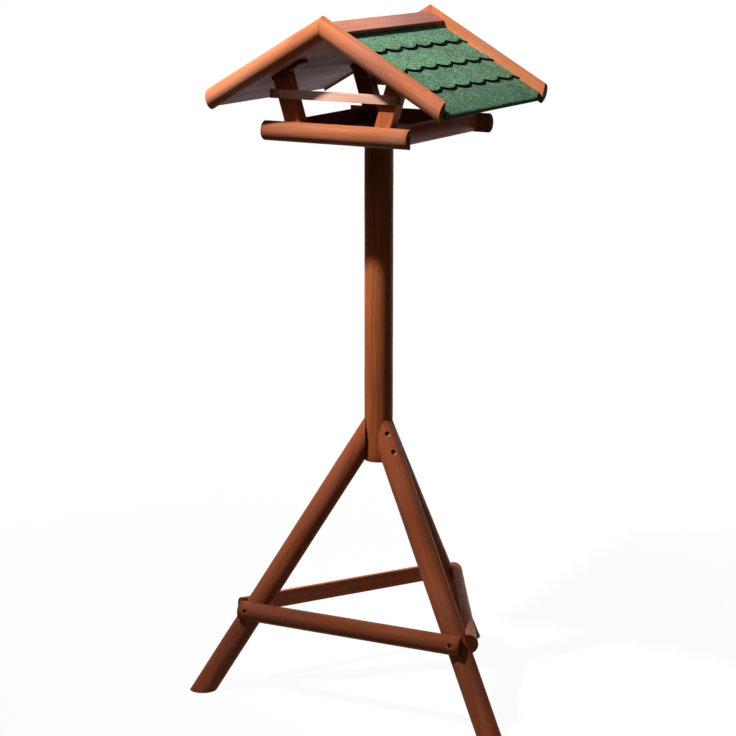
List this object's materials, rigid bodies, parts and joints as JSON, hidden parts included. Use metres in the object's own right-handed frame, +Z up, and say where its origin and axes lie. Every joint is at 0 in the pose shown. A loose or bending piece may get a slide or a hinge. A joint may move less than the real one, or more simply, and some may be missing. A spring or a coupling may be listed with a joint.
{
  "type": "bird feeder on a tripod log stand",
  "caption": "Free-standing garden bird feeder: a shingled gable roof over an open railed tray, on an upright post held by a braced tripod of round logs.",
  "frame": {"origin": "on the ground, at the middle of the whole outline seen from above; the post's axis is 11 mm towards -X and 71 mm towards -Y of it", "axes": "+Z up along the post; the roof's ridge runs along Y with the front gable at -Y; the tray's front and back rails run along X"},
  "size_m": [0.6036, 0.5334, 1.204],
  "materials": {
    "stained_log": "round and half-round pine poles in a red-brown translucent stain, satin, grain and knots showing",
    "stained_batten": "sawn pine battens in the same red-brown stain, satin",
    "tray_board": "dark stained board, matt and weathered",
    "roof_panel": "thin grey-brown wood panel, unpainted, matt",
    "ridge_board": "planed boards in a paler, pinkish red-brown stain, matt",
    "shingle_felt": "bitumen felt with green mineral granules, rough and matt",
    "screw_steel": "zinc-plated, satin"
  },
  "bodies": {
    "root": {"post": "stained_log", "leg_left": "stained_log", "leg_right": "stained_log", "leg_back": "stained_log", "brace_front": "stained_log", "brace_rear": "stained_log", "brace_side": "stained_log", "tray_floor": "tray_board", "tray_rail_front": "stained_log", "tray_rail_back": "stained_log", "tray_rail_left": "stained_log", "tray_rail_right": "stained_log", "support_front_left": "stained_batten", "support_front_right": "stained_batten", "support_back_left": "stained_batten", "support_back_right": "stained_batten", "cross_board_front": "stained_batten", "cross_board_back": "stained_batten", "cleat_front_left": "stained_batten", "cleat_front_right": "stained_batten", "cleat_back_left": "stained_batten", "cleat_back_right": "stained_batten", "roof_panel_left": "roof_panel", "roof_panel_right": "roof_panel", "verge_front_left": "stained_log", "verge_front_right": "stained_log", "verge_back_left": "stained_log", "verge_back_right": "stained_log", "ridge_board_left": "ridge_board", "ridge_board_right": "ridge_board", "course_left_1": "shingle_felt", "course_left_2": "shingle_felt", "course_left_3": "shingle_felt", "course_left_4": "shingle_felt", "course_right_1": "shingle_felt", "course_right_2": "shingle_felt", "course_right_3": "shingle_felt", "course_right_4": "shingle_felt", "leg_screws": "screw_steel", "brace_screws": "screw_steel", "board_screws": "screw_steel"}
  },
  "joints": []
}
